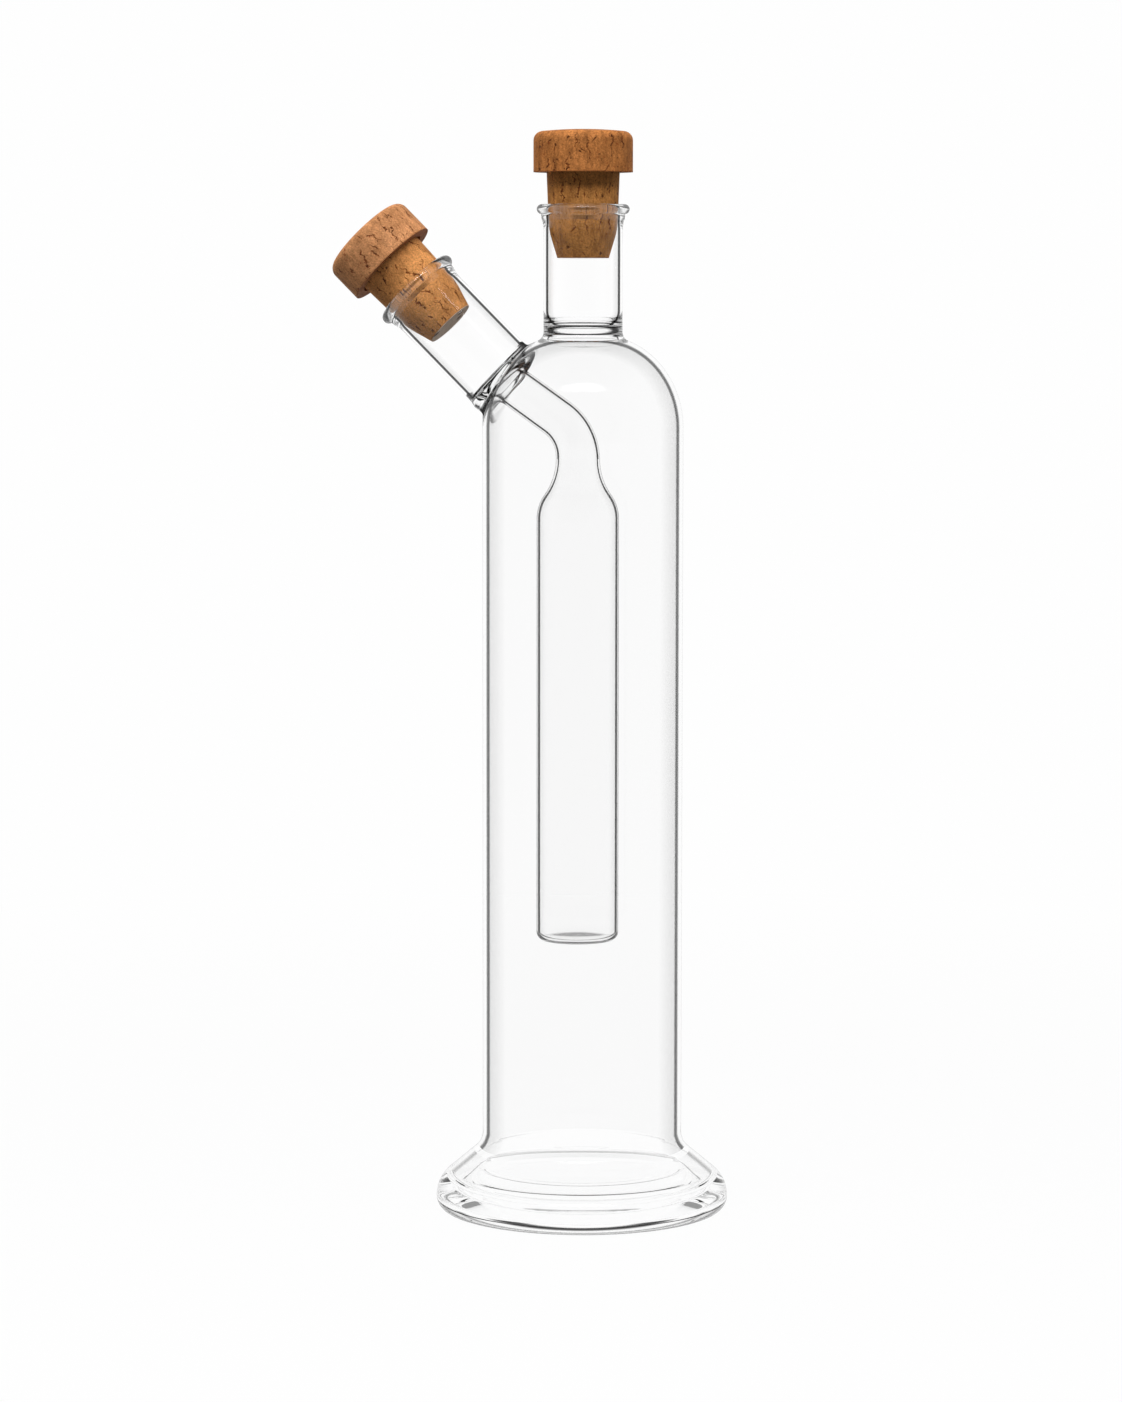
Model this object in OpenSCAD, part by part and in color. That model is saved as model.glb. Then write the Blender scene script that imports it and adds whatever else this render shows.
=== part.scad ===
// Oil and vinegar cruet: a tall blown glass bottle for oil, with a slim vial for vinegar
// hanging inside it. The vial's bent stem leaves through the shoulder and opens into a
// second, slanting neck. Each neck is closed by a tapered cork with a wide turned head.
// Millimetres, +Z up. The origin is the centre of the foot, on the table.
// The slanting neck lies in the XZ plane, on the -X side.

/* [Bottle] */
// Outer diameter of the straight body
body_d = 52; // [48:0.5:58]
// Thickness of the body's wall, from foot to shoulder
wall = 1.5; // [1.1:0.1:2]
// Height at which the straight body ends and the shoulder begins
shoulder_z = 204.5; // [195:0.5:225]
// Height of the rounded shoulder
shoulder_h = 24; // [20:0.5:28]
// Radius of the crown that the shoulder curves in to
crown_r = 4.2; // [3:0.1:7]

/* [Foot] */
// Largest diameter of the hollow foot
foot_d = 76.2; // [72:0.2:84]
// Radius that rounds the foot's lower edge
rim_r = 3.6; // [3.2:0.1:4.8]
// Radius of the foot's rounded brow above that edge
brow_r = 8.4; // [6.5:0.1:9.5]
// Radius of the hollow between the foot and the body
foot_fillet = 6.3; // [4:0.1:8]
// Slope of the foot between that hollow and the brow, in degrees below level
foot_slope = 40; // [34:1:46]
// Thickness of the bottle's heavy floor in its middle
floor_t = 10.4; // [9.8:0.1:10.8]
// Radius that rounds the edge of that thick middle
floor_edge_r = 2.5; // [1.8:0.1:3]
// Slope from that edge down into the channel round it, in degrees below level
channel_slope = 45; // [38:1:50]
// Height of the channel's bottom above the table
channel_h = 6.4; // [6:0.1:7]
// Radius of the channel's bottom, where the foot's wall comes down to it
channel_r = 1.8; // [1.4:0.1:2.2]
// Height of the hollow pressed up under the floor
punt_h = 0.8; // [0.4:0.1:1.2]
// Width of the flat ring that the cruet stands on
stand_w = 3; // [2:0.5:5]

/* [Necks] */
// Outer diameter of both necks
neck_d = 20.4; // [19:0.1:22]
// Thickness of the necks' wall
neck_wall = 1.1; // [0.9:0.1:1.4]
// Height of the upright neck above the top of the shoulder
neck_h = 33.5; // [28:0.5:50]
// Radius of the hollow between the upright neck and the shoulder
neck_fillet = 2.5; // [1.5:0.1:3.5]
// How far the seam stands out inside the upright neck's foot
seam_h = 0.9; // [0.4:0.1:1.2]
// Thickness of the bead round each mouth
bead_d = 2.5; // [2:0.1:3]
// How far the neck flares out to meet its bead
lip_flare = 0.5; // [0.2:0.1:0.8]
// Height of that flare
lip_flare_h = 4; // [3:0.5:5]

/* [Slanting neck] */
// Angle of the slanting neck from upright
side_lean = 45; // [42:1:48]
// Where the slanting neck's axis leaves the shoulder, as an angle round its ellipse
seal_turn = 35; // [32:1:38]
// Depth of the ring seal's centre below that place, along the slanting neck
seal_sink = 2.1; // [1:0.1:3]
// Thickness of the ring seal
seal_t = 2.4; // [1.8:0.1:3]
// Length of the slanting neck, from the seal's centre to the top of its bead
side_neck_l = 34.2; // [30:0.2:42]

/* [Inner vessel] */
// Outer diameter of the vial
vial_d = 21.3; // [18:0.1:24]
// Thickness of the vial's and the stem's wall
vial_wall = 0.75; // [0.6:0.05:1]
// Distance of the vial's axis from the bottle's, towards the slanting neck
vial_x = 1.3; // [0:0.1:2]
// Height of the vial's underside
vial_bottom_z = 71; // [50:0.5:110]
// Thickness of the vial's floor
vial_floor = 1; // [0.8:0.1:1.5]
// Radius that rounds the vial's lower edge
vial_corner = 2.2; // [1.8:0.1:3]
// Height of the vial's shoulder
vial_shoulder_h = 15.5; // [13:0.5:20]
// Share of that shoulder's curve that is the upper hollow
vial_hollow = 0.6; // [0.5:0.05:0.7]
// Outer diameter of the stem
stem_d = 10.4; // [9:0.1:12]
// How far the stem falls below level, from the seal to its bend
stem_drop = 35; // [32:1:38]
// Radius of the stem's bend, at the middle of the stem
bend_r = 13; // [11:0.5:16]

/* [Stoppers] */
// Diameter of the cork head
head_d = 25.6; // [24:0.2:30]
// Height of the cork head
head_h = 11; // [9:0.2:14]
// Radius that rounds the head's upper edge
head_edge = 2.4; // [1.5:0.1:3.5]
// How far the head's top is crowned
head_crown = 0.5; // [0.2:0.1:0.8]
// Depth of the socket in the head that the shank is glued into
socket_h = 3.6; // [2.5:0.1:5]
// Gap round the shank in its socket
socket_gap = 0.6; // [0.3:0.1:0.8]
// Length of the shank below the head
shank_l = 22; // [18:0.1:26]
// How deep the shank's tip reaches into the neck
insert_l = 13.8; // [12:0.1:16]
// Taper of the shank on each side, in degrees
shank_taper = 2.2; // [1:0.1:3]
// Diameter of the shank's tip
tip_d = 13.3; // [11:0.1:14.5]
// Height of the chamfer above the tip
tip_h = 7.4; // [6:0.1:9]
// Radius that rounds the corner between the chamfer and the taper
tip_round = 20; // [8:1:24]
// Gap left between the shank and the mouth it is wedged in
seat_gap = 0.05; // [0.03:0.01:0.1]

/* [Hidden] */
$fn = 96;

// Colours
glass = [0.86, 0.91, 0.93, 0.35];
head_cork = [0.66, 0.45, 0.30];
shank_cork = [0.70, 0.48, 0.25];

// Steps that round stretches are drawn in
arc_steps = 8;
shoulder_steps = 16;

body_r = body_d / 2;
bore_r = body_r - wall;
foot_r = foot_d / 2;
neck_r = neck_d / 2;
neck_bore_r = neck_r - neck_wall;
bead_r = bead_d / 2;
stem_r = stem_d / 2;
vial_r = vial_d / 2;

// The foot: its edge, its brow, a straight slope and a hollow that meets the body
brow_centre = [foot_r - brow_r, rim_r];
slope_normal = [sin(foot_slope), cos(foot_slope)];
slope_reach = brow_centre * slope_normal + brow_r;
hollow_r = body_r + foot_fillet;
hollow_z = (slope_reach + foot_fillet - hollow_r * slope_normal[0]) / slope_normal[1];
hollow_centre = [hollow_r, hollow_z];
brow_turn = 90 - foot_slope;
stand_r = foot_r - rim_r;
punt_slope_w = 1.2;

// The floor: a raised middle with a channel round it, where it meets the foot's wall
floor_z = punt_h + floor_t;
channel_z = channel_h + channel_r;
channel_reach = slope_reach - wall - channel_r;
channel_x = (channel_reach - channel_z * slope_normal[1]) / slope_normal[0];
channel_centre = [channel_x, channel_z];
bank_normal = [sin(channel_slope), cos(channel_slope)];
bank_gap = channel_r + floor_edge_r;
bank_rise = floor_z - floor_edge_r - channel_z + bank_gap * bank_normal[1];
bank_l = bank_rise / bank_normal[0];
edge_x = channel_x - bank_gap * bank_normal[0] - bank_l * bank_normal[1];
edge_centre = [edge_x, floor_z - floor_edge_r];

// The shoulder is a quarter of an ellipse round crown_r
shoulder_a = body_r - crown_r;
inner_a = shoulder_a - wall;
inner_h = shoulder_h - wall;
neck_top_z = shoulder_z + shoulder_h + neck_h;

// Centre of the ring seal
seal_x = crown_r + shoulder_a * cos(seal_turn) - seal_sink * sin(side_lean);
seal_z = shoulder_z + shoulder_h * sin(seal_turn) - seal_sink * cos(side_lean);

// The bead and the rounded inner edge of a mouth, below a rim at height 0
bead_centre = [neck_r + lip_flare, -bead_r];
bead_from = -80;
mouth_r = bead_centre[0] - neck_bore_r;
mouth_h = bead_r;

// The stem is a little wider round its bend, where its straight end and the vial lap into it
swell = 0.06;
lap = 0.4;
tube_r = stem_r - swell;

// Path of the stem: straight from the seal, then a bend that ends upright
bend_centre_x = -vial_x - bend_r;
stem_l = (seal_x + bend_centre_x + bend_r * sin(stem_drop)) / cos(stem_drop);
bend_z = seal_z - stem_l * sin(stem_drop) - bend_r * cos(stem_drop);

// The vial's shoulder is two arcs that turn by the same angle
vial_rise = vial_r - tube_r;
vial_turn = 2 * atan2(vial_rise, vial_shoulder_h);
vial_arcs = vial_shoulder_h / sin(vial_turn);
vial_upper_r = vial_arcs * vial_hollow;
vial_lower_r = vial_arcs - vial_upper_r;

// The shank is widest at the head and just clears the mouth, where the bore begins to round
seat_r = neck_bore_r - seat_gap;
seat_h = insert_l - mouth_h;
slack = 0.01;

// Points of an arc or part of an ellipse round a centre
function arc(centre, rx, ry, from, to, steps) = [
    for (i = [0 : steps])
        let (a = from + (to - from) * i / steps)
        centre + [rx * cos(a), ry * sin(a)]
];

function round_arc(centre, r, from, to, steps = arc_steps) = arc(centre, r, r, from, to, steps);

// Unit normal of an ellipse at parameter t
function ellipse_normal(a, b, t) =
    let (n = [cos(t) / a, sin(t) / b])
    n / norm(n);

// Parameter of the shoulder's ellipse where a fillet touches it and the upright neck
function fillet_touch(lo, hi, steps) =
    let (
        t = (lo + hi) / 2,
        x = crown_r + shoulder_a * cos(t)
            + neck_fillet * ellipse_normal(shoulder_a, shoulder_h, t)[0]
    )
    steps == 0 ? t
    : x > neck_r + neck_fillet ? fillet_touch(t, hi, steps - 1)
    : fillet_touch(lo, t, steps - 1);

touch = fillet_touch(5, 89, 30);
touch_normal = ellipse_normal(shoulder_a, shoulder_h, touch);
fillet_centre = [crown_r + shoulder_a * cos(touch), shoulder_z + shoulder_h * sin(touch)]
    + neck_fillet * touch_normal;
fillet_angle = atan2(touch_normal[1], touch_normal[0]) + 180;

// The seam is a rounded ridge inside the neck, at the height of the fillet
seam_z = fillet_centre[1] + 0.4;
seam_r = 1.5;
seam_centre = [neck_bore_r - seam_h + seam_r, seam_z];
seam_half = acos((seam_r - seam_h) / seam_r);
inner_meet = asin(sqrt(1 - pow((neck_bore_r - crown_r) / inner_a, 2)));

// Outside of the bottle, from under the floor up to the top of its bead
function outside_points() = concat(
    [[0, punt_h], [stand_r - stand_w - punt_slope_w, punt_h], [stand_r - stand_w, 0]],
    round_arc([stand_r, rim_r], rim_r, -90, 0),
    round_arc(brow_centre, brow_r, brow_turn / arc_steps, brow_turn, arc_steps - 1),
    round_arc(hollow_centre, foot_fillet, 180 + brow_turn, 180),
    arc([crown_r, shoulder_z], shoulder_a, shoulder_h, 0, touch, shoulder_steps),
    round_arc(fillet_centre, neck_fillet, fillet_angle, 180),
    lip_outside(neck_top_z)
);

// Inside of the bottle, from its mouth down to the middle of the floor
function inside_points() = concat(
    lip_inside(neck_top_z),
    round_arc(seam_centre, seam_r, 180 - seam_half, 180 + seam_half),
    arc([crown_r, shoulder_z], inner_a, inner_h, inner_meet, 0, shoulder_steps),
    round_arc(hollow_centre, foot_fillet + wall, 180, 180 + brow_turn),
    round_arc(channel_centre, channel_r, brow_turn, -90 - channel_slope),
    round_arc(edge_centre, floor_edge_r, 90 - channel_slope, 90),
    [[0, floor_z]]
);

// A neck's outside near its mouth: the flare, then the bead up to its top
function lip_outside(top) = concat(
    [[neck_r, top - bead_d - lip_flare_h]],
    round_arc(bead_centre + [0, top], bead_r, bead_from, 90, 2 * arc_steps)
);

// A neck's inside near its mouth: the rounded edge, from the top into the bore
function lip_inside(top) = arc([bead_centre[0], top - mouth_h], mouth_r, mouth_h, 90, 180, arc_steps);

// One side of the vial's wall, from its stem down to the middle of its floor
function vial_side(inset, floor_h) = concat(
    [[tube_r - inset, bend_z + lap]],
    round_arc([tube_r + vial_upper_r, bend_z], vial_upper_r + inset, 180, 180 + vial_turn),
    round_arc([vial_r - vial_lower_r, bend_z - vial_shoulder_h], vial_lower_r - inset, vial_turn, 0),
    round_arc(
        [vial_r - vial_corner, vial_bottom_z + floor_h + vial_corner - inset],
        vial_corner - inset, 0, -90
    ),
    [[0, vial_bottom_z + floor_h]]
);

// The vial's outline: down its outside and back up its inside
function vial_points() =
    let (inside = vial_side(vial_wall, vial_floor))
    concat(vial_side(0, 0), [for (i = [len(inside) - 1 : -1 : 0]) inside[i]]);

// Moves a piece drawn on the Z axis onto the slanting neck, with the seal's centre at 0
module on_side_neck() {
    translate([-seal_x, 0, seal_z])
        rotate([0, -side_lean, 0])
            children();
}

// Moves a piece drawn below a mouth's rim onto one of the two necks
module on_main_mouth() {
    translate([0, 0, neck_top_z])
        children();
}

module on_side_mouth() {
    on_side_neck()
        translate([0, 0, side_neck_l])
            children();
}

// The bottle's inside, which nothing that is added outside may fill
module oil_space() {
    rotate_extrude()
        polygon(concat(inside_points(), [[0, neck_top_z]]));
}

// The body, foot, shoulder and upright neck, blown as one piece, with the shoulder drawn out
// into a short collar that the ring seal stands on
module outer_bottle() {
    reach = body_d / 2;
    color(glass)
        difference() {
            union() {
                rotate_extrude()
                    polygon(concat(outside_points(), inside_points()));
                difference() {
                    on_side_neck()
                        translate([0, 0, -neck_r])
                            cylinder(h = neck_r - seal_t / 2, r = neck_r);
                    oil_space();
                }
            }
            on_side_neck() {
                translate([0, 0, -seal_t / 2])
                    cylinder(h = reach, r = neck_r);
                translate([0, 0, -neck_d])
                    cylinder(h = neck_d, r = neck_bore_r);
            }
        }
}

// The slanting neck: a tube with the same bead as the upright one
module side_neck() {
    color(glass)
        on_side_neck()
            rotate_extrude()
                polygon(concat(
                    [[neck_r, seal_t / 2]],
                    lip_outside(side_neck_l),
                    lip_inside(side_neck_l),
                    [[neck_bore_r, seal_t / 2]]
                ));
}

// Moves a piece drawn on the Z axis onto the straight part of the stem, which starts at 0
module on_stem() {
    translate([-seal_x, 0, seal_z])
        rotate([0, 90 + stem_drop, 0])
            children();
}

// The bend between the straight part of the stem and the vial
module stem_bend() {
    translate([bend_centre_x, 0, bend_z])
        rotate([90, 0, 0])
            rotate_extrude(angle = 90 - stem_drop)
                translate([bend_r, 0])
                    difference() {
                        circle(r = stem_r);
                        circle(r = stem_r - vial_wall);
                    }
}

// The ring seal with the straight part of the stem, whose bore opens into the neck
module seal_and_stem() {
    difference() {
        union() {
            on_side_neck()
                translate([0, 0, -seal_t / 2])
                    cylinder(h = seal_t, r = neck_r);
            on_stem()
                cylinder(h = stem_l + lap, r = tube_r);
        }
        on_stem()
            translate([0, 0, -seal_t * 2])
                cylinder(h = stem_l + lap + seal_t * 2 + slack, r = tube_r - vial_wall);
    }
}

// The vinegar vessel: ring seal, bent stem and vial
module inner_vessel() {
    color(glass) {
        seal_and_stem();
        stem_bend();
        translate([-vial_x, 0, 0])
            rotate_extrude()
                polygon(vial_points());
    }
}

// Radius of the shank at a height above its tip
function shank_at(h) = seat_r + (h - seat_h) * tan(shank_taper);

// A cork head, drawn below a mouth's rim at height 0
module stopper_head() {
    under = shank_l - insert_l;
    socket_r = shank_at(shank_l) + socket_gap;
    top_r = head_d / 2;
    crown = (pow(top_r - head_edge, 2) + pow(head_crown, 2)) / (2 * head_crown);
    crown_half = asin((top_r - head_edge) / crown);
    color(head_cork)
        translate([0, 0, under])
            rotate_extrude()
                polygon(concat(
                    [[0, socket_h], [socket_r, socket_h], [socket_r, 0], [top_r, 0]],
                    round_arc(
                        [top_r - head_edge, head_h - head_crown - head_edge], head_edge, 0, 90
                    ),
                    round_arc([0, head_h - crown], crown, 90 - crown_half * 0.8, 90)
                ));
}

// A tapered cork shank, drawn below a mouth's rim at height 0, glued into its head
module stopper_shank() {
    corner = [shank_at(tip_h), tip_h];
    top = shank_l + socket_h;
    tip_r = tip_d / 2;
    chamfer = atan2(corner[0] - tip_r, tip_h);
    run = tip_round * tan((chamfer - shank_taper) / 2);
    round_from = corner + run * [sin(shank_taper), cos(shank_taper)];
    round_centre = round_from + tip_round * [-cos(shank_taper), sin(shank_taper)];
    color(shank_cork)
        translate([0, 0, -insert_l])
            rotate_extrude()
                polygon(concat(
                    [[0, 0], [tip_r, 0]],
                    round_arc(round_centre, tip_round, -chamfer, -shank_taper),
                    [[shank_at(top), top], [0, top]]
                ));
}

outer_bottle();
inner_vessel();
side_neck();
on_main_mouth() stopper_head();  // main_stopper_head
on_main_mouth() stopper_shank();  // main_stopper_shank
on_side_mouth() stopper_head();  // side_stopper_head
on_side_mouth() stopper_shank();  // side_stopper_shank
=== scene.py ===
import math

import bpy
import bmesh
from mathutils import Matrix, Vector
from mathutils.geometry import delaunay_2d_cdt

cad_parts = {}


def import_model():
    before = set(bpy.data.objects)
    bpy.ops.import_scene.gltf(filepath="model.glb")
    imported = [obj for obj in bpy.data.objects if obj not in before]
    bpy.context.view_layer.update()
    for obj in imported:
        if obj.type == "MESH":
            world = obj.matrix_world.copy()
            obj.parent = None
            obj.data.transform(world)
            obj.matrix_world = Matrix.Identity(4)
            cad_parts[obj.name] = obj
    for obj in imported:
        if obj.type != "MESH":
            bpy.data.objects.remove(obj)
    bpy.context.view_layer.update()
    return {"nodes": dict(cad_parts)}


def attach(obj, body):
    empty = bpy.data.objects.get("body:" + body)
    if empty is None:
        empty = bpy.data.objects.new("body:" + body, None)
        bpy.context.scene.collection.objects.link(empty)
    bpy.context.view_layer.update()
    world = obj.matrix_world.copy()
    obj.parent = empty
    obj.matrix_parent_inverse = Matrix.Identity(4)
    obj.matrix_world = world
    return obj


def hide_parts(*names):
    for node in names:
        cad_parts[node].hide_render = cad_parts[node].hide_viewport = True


# Clear glass oil and vinegar cruet with two cork stoppers. The glass is one melted piece: its
# outside, the oil chamber and the vinegar chamber are one closed surface.
# Profiles are in millimetres, as (radius, height) pairs, and meshes in metres.

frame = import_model()
MM = 0.001

# Sizes of the glass
BODY_R = 26.0
WALL = 1.5
SHOULDER_Z = 204.5
SHOULDER_H = 24.0
CROWN_R = 4.2
FOOT_R = 38.1
RIM_R = 3.6
BROW_R = 8.4
FOOT_FILLET = 6.3
FOOT_SLOPE = 40
FLOOR_T = 10.4
FLOOR_EDGE_R = 2.5
CHANNEL_SLOPE = 45
CHANNEL_H = 6.4
CHANNEL_R = 1.8
PUNT_H = 0.8
PUNT_EDGE_R = 1.6
STAND_W = 3.0
STAND_BEVEL = ((0.05, 0.06), (0.3, 0.0))
NECK_R = 10.2
NECK_WALL = 1.1
NECK_H = 33.5
NECK_TOP_Z = SHOULDER_Z + SHOULDER_H + NECK_H
NECK_FILLET = 2.5
SEAM_H = 0.9
SEAM_R = 1.5
SEAM_RISE = 0.4
BEAD_R = 1.25
BEAD_CREASE = 0.1
LIP_FLARE = 0.5
LIP_FLARE_H = 4.0

# Slanting neck and inner vessel
SIDE_LEAN = math.radians(45)
SEAL_TURN = math.radians(35)
SEAL_SINK = 2.1
SEAL = Vector((
    SEAL_SINK * math.sin(SIDE_LEAN) - CROWN_R - (BODY_R - CROWN_R) * math.cos(SEAL_TURN),
    0,
    SHOULDER_Z + SHOULDER_H * math.sin(SEAL_TURN) - SEAL_SINK * math.cos(SIDE_LEAN),
))
SEAL_T = 2.4
SEAL_BULGE = 0.35
SEAL_BULGE_Z = 0.3
SEAL_BULGE_W = 1.1
SEAL_CORNER_R = 1.3
SEAL_TOP = 6.5
SIDE_NECK_L = 34.2
VIAL_R = 10.65
VIAL_WALL = 0.75
VIAL_X = 1.3
VIAL_BOTTOM_Z = 71.0
VIAL_FLOOR = 1.0
VIAL_CORNER = 2.2
VIAL_SHOULDER_H = 15.5
VIAL_HOLLOW = 0.6
STEM_R = 5.2
STEM_FOOT_R = 5.7
STEM_MOUTH = 1.0
STEM_DROP = math.radians(35)
BEND_R = 13.0

# Sizes of the corks
INSERT_L = 13.8
SHANK_L = 22.0
HEAD_H = 11.0

# Mesh density. The seal's hole needs short faces on this much of the body, under the shoulder.
LATHE_STEPS = 192
LOFT_STEPS = 144
SHORT_FACES_H = 24.0

# Worked out from the sizes
NECK_BORE_R = NECK_R - NECK_WALL
SHOULDER_A = BODY_R - CROWN_R
INNER_A = SHOULDER_A - WALL
INNER_H = SHOULDER_H - WALL

# The glass skins, in the order of their materials, and how far some reach past their forms
OUTSIDE, CHAMBER, FLARE, FLOOR, BORE, VIAL, STAND, RIM, LIP, SEAM, SEALED, STEM = range(12)
LIP_SKIN_H = 2 * BEAD_R + 1.0
SEAM_SKIN_UP = 1.7
SEAM_SKIN_DOWN = 1.0
FLARE_SKIN_DOWN = 4.6
FLOOR_SKIN_OUT = 2.6
STAND_SKIN_IN = 1.5
RIM_SKIN_OUT = 0.1
SEALED_SKIN_H = 4.0


# Profiles

def arc(centre, rx, rz, start, end, steps):
    """Points of an arc or part of an ellipse, from one angle to another in degrees."""
    points = []
    for i in range(steps + 1):
        a = math.radians(start + (end - start) * i / steps)
        points.append((centre[0] + rx * math.cos(a), centre[1] + rz * math.sin(a)))
    return points


def line(start, end, steps):
    """Points after start on a straight line to end."""
    return [
        (start[0] + (end[0] - start[0]) * i / steps, start[1] + (end[1] - start[1]) * i / steps)
        for i in range(1, steps + 1)
    ]


def joined(*parts):
    """One list of points, without the repeats where two parts meet."""
    points = []
    for part in parts:
        for p in part:
            if not points or math.dist(points[-1], p) > 0.002:
                points.append(p)
    return points


def lip_outside(top):
    """A neck's flare and bead, up to the rim."""
    centre = (NECK_R + LIP_FLARE, top - BEAD_R)
    bead = arc(centre, BEAD_R, BEAD_R, -80, 90, 20)
    start = (NECK_R, top - 2 * BEAD_R - LIP_FLARE_H)
    flare = []
    steps = 8
    for i in range(steps + 1):
        t = i / steps
        flare.append((
            start[0] + (bead[0][0] - BEAD_CREASE - start[0]) * t * t * (3 - 2 * t),
            start[1] + (bead[0][1] - start[1]) * t,
        ))
    return joined(flare, bead)


def lip_inside(top):
    """A neck's rounded inner edge, from the rim down into the bore."""
    run = NECK_R + LIP_FLARE - NECK_BORE_R
    return arc((NECK_R + LIP_FLARE, top - BEAD_R), run, BEAD_R, 90, 180, 12)


def ellipse_normal(a, b, t):
    """The way out of an ellipse of two half axes, at an angle of its parameter."""
    n = Vector((math.cos(t) / a, math.sin(t) / b))
    return n.normalized()


def fillet_touch():
    """Where the fillet under the upright neck touches the shoulder, found by halving."""
    low, high = math.radians(5), math.radians(89)
    for _ in range(40):
        t = (low + high) / 2
        out = ellipse_normal(SHOULDER_A, SHOULDER_H, t)[0]
        x = CROWN_R + SHOULDER_A * math.cos(t) + NECK_FILLET * out
        if x > NECK_R + NECK_FILLET:
            low = t
        else:
            high = t
    return (low + high) / 2


TOUCH = fillet_touch()
TOUCH_NORMAL = ellipse_normal(SHOULDER_A, SHOULDER_H, TOUCH)
FILLET_CENTRE = (
    CROWN_R + SHOULDER_A * math.cos(TOUCH) + NECK_FILLET * TOUCH_NORMAL[0],
    SHOULDER_Z + SHOULDER_H * math.sin(TOUCH) + NECK_FILLET * TOUCH_NORMAL[1],
)
FILLET_ANGLE = math.degrees(math.atan2(TOUCH_NORMAL[1], TOUCH_NORMAL[0])) + 180


# The foot's brow, and the hollow above it that runs up into the body, joined by a straight slope
BROW = (FOOT_R - BROW_R, RIM_R)
SLOPE_NORMAL = (math.sin(math.radians(FOOT_SLOPE)), math.cos(math.radians(FOOT_SLOPE)))
SLOPE_REACH = BROW[0] * SLOPE_NORMAL[0] + BROW[1] * SLOPE_NORMAL[1] + BROW_R
HOLLOW = (
    BODY_R + FOOT_FILLET,
    (SLOPE_REACH + FOOT_FILLET - (BODY_R + FOOT_FILLET) * SLOPE_NORMAL[0]) / SLOPE_NORMAL[1],
)


# The floor: a raised middle with a channel round it, where it meets the foot's wall
FLOOR_Z = PUNT_H + FLOOR_T
CHANNEL_Z = CHANNEL_H + CHANNEL_R
CHANNEL_REACH = SLOPE_REACH - WALL - CHANNEL_R
CHANNEL = ((CHANNEL_REACH - CHANNEL_Z * SLOPE_NORMAL[1]) / SLOPE_NORMAL[0], CHANNEL_Z)
BANK_NORMAL = (math.sin(math.radians(CHANNEL_SLOPE)), math.cos(math.radians(CHANNEL_SLOPE)))
BANK_GAP = CHANNEL_R + FLOOR_EDGE_R
BANK_L = (FLOOR_Z - FLOOR_EDGE_R - CHANNEL_Z + BANK_GAP * BANK_NORMAL[1]) / BANK_NORMAL[0]
FLOOR_EDGE = (
    CHANNEL[0] - BANK_GAP * BANK_NORMAL[0] - BANK_L * BANK_NORMAL[1], FLOOR_Z - FLOOR_EDGE_R,
)


def outer_profile():
    """Outside of the bottle, from under its floor to the rim of the upright neck."""
    stand = FOOT_R - RIM_R
    stand_edge = stand - STAND_W
    punt_r = stand_edge - PUNT_EDGE_R
    return joined(
        [(0.0, PUNT_H)],
        line((0, PUNT_H), (punt_r, PUNT_H), 8),
        arc((punt_r, 0), PUNT_EDGE_R, PUNT_H, 90, 14, 6),
        [(stand_edge + x, z) for x, z in STAND_BEVEL],
        [(stand, 0)],
        arc((stand, RIM_R), RIM_R, RIM_R, -90, 0, 16),
        arc(BROW, BROW_R, BROW_R, 0, 90 - FOOT_SLOPE, 14),
        arc(HOLLOW, FOOT_FILLET, FOOT_FILLET, 270 - FOOT_SLOPE, 180, 14),
        line((BODY_R, HOLLOW[1]), (BODY_R, SHOULDER_Z - SHORT_FACES_H), 4),
        line((BODY_R, SHOULDER_Z - SHORT_FACES_H), (BODY_R, SHOULDER_Z), 6),
        arc((CROWN_R, SHOULDER_Z), SHOULDER_A, SHOULDER_H, 0, math.degrees(TOUCH), 40),
        arc(FILLET_CENTRE, NECK_FILLET, NECK_FILLET, FILLET_ANGLE, 180, 10),
        line((NECK_R, FILLET_CENTRE[1]), (NECK_R, NECK_TOP_Z - 2 * BEAD_R - LIP_FLARE_H), 6),
        lip_outside(NECK_TOP_Z),
    )


def inner_profile():
    """Inside of the bottle, from the rim of the upright neck to the middle of its floor."""
    bore_r = BODY_R - WALL
    seam_centre = (NECK_BORE_R - SEAM_H + SEAM_R, FILLET_CENTRE[1] + SEAM_RISE)
    half = math.degrees(math.acos((SEAM_R - SEAM_H) / SEAM_R))
    seam = arc(seam_centre, SEAM_R, SEAM_R, 180 - half, 180 + half, 14)
    meet = math.degrees(math.asin(math.sqrt(1 - ((NECK_BORE_R - CROWN_R) / INNER_A) ** 2)))
    return joined(
        lip_inside(NECK_TOP_Z)[1:],
        line((NECK_BORE_R, NECK_TOP_Z - BEAD_R), seam[0], 8),
        seam,
        arc((CROWN_R, SHOULDER_Z), INNER_A, INNER_H, meet, 0, 40),
        line((bore_r, SHOULDER_Z), (bore_r, SHOULDER_Z - SHORT_FACES_H), 6),
        line((bore_r, SHOULDER_Z - SHORT_FACES_H), (bore_r, HOLLOW[1]), 4),
        arc(HOLLOW, FOOT_FILLET + WALL, FOOT_FILLET + WALL, 180, 270 - FOOT_SLOPE, 14),
        arc(CHANNEL, CHANNEL_R, CHANNEL_R, 90 - FOOT_SLOPE, -90 - CHANNEL_SLOPE, 20),
        arc(FLOOR_EDGE, FLOOR_EDGE_R, FLOOR_EDGE_R, 90 - CHANNEL_SLOPE, 90, 10),
        line((FLOOR_EDGE[0], FLOOR_Z), (0, FLOOR_Z), 10),
    )


# Meshes of rings

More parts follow.
